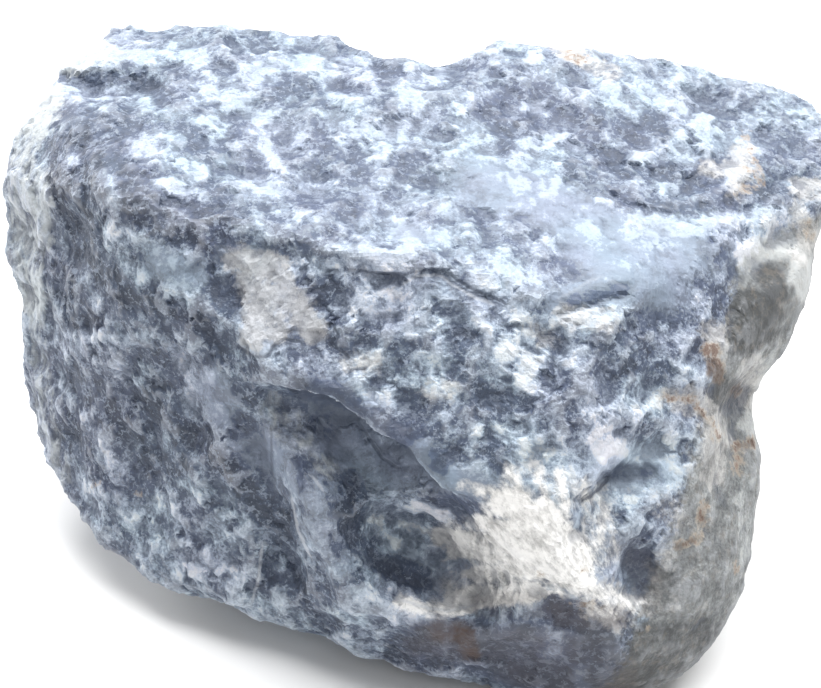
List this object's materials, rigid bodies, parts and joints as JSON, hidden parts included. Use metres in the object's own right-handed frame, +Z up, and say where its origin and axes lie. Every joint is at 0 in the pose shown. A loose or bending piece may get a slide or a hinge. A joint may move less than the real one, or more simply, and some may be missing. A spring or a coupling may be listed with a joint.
{
  "type": "rough anhydrite",
  "caption": "Rough block of pale blue-grey anhydrite with a broad broken top, a ridged and hollowed front and a water-worn side, resting on a small flat spot.",
  "frame": {"origin": "under the middle of the stone's box, on the surface that it rests on", "axes": "+X along the stone's length, from its broken left face to its worn right side; -Y is the front, where the ridge and the hollows are; +Z up"},
  "size_m": [0.1098, 0.0718, 0.0619],
  "materials": {
    "anhydrite": "rough broken sugary surface, half matt, worn smooth on the right side"
  },
  "bodies": {
    "root": {"anhydrite": "anhydrite"}
  },
  "joints": []
}
